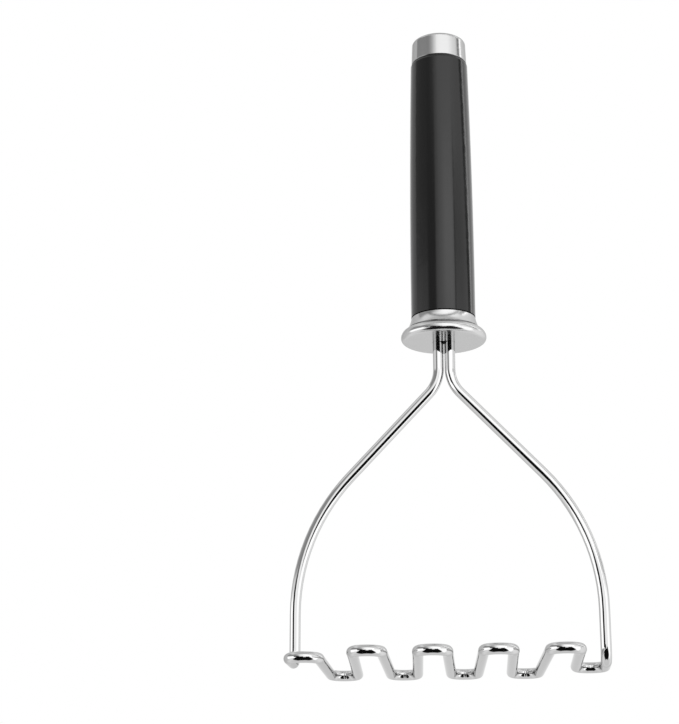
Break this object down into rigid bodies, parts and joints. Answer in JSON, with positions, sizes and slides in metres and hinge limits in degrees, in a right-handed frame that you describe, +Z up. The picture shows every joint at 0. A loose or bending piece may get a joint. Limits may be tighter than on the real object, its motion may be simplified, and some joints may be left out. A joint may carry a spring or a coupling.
{
  "type": "wire potato masher",
  "caption": "Hand potato masher: one bent steel wire with a serpentine foot and bowed legs, in a round plastic handle with a steel collar and end cap.",
  "frame": {"origin": "centre of the foot's footprint, on the plane that the foot stands on", "axes": "+Z up the handle's axis, +X across the foot from leg to leg, +Y through the foot's depth"},
  "size_m": [0.1218, 0.0788, 0.2601],
  "materials": {
    "polished_wire": "mirror-polished stainless wire",
    "polished_steel": "polished stainless steel",
    "satin_steel": "satin brushed stainless steel",
    "grip_plastic": "black satin moulded plastic",
    "plug_plastic": "black moulded plastic",
    "core_nylon": "natural moulded nylon",
    "seal_rubber": "black seal rubber",
    "fastener_steel": "plain stainless fastener"
  },
  "bodies": {
    "root": {"masher_wire": "polished_wire", "collar": "polished_steel", "collar_seal": "seal_rubber", "grip": "grip_plastic", "anchor_core": "core_nylon", "tie_washer": "fastener_steel", "tie_screw": "fastener_steel", "cap_plug": "plug_plastic", "end_cap": "satin_steel"}
  },
  "joints": []
}
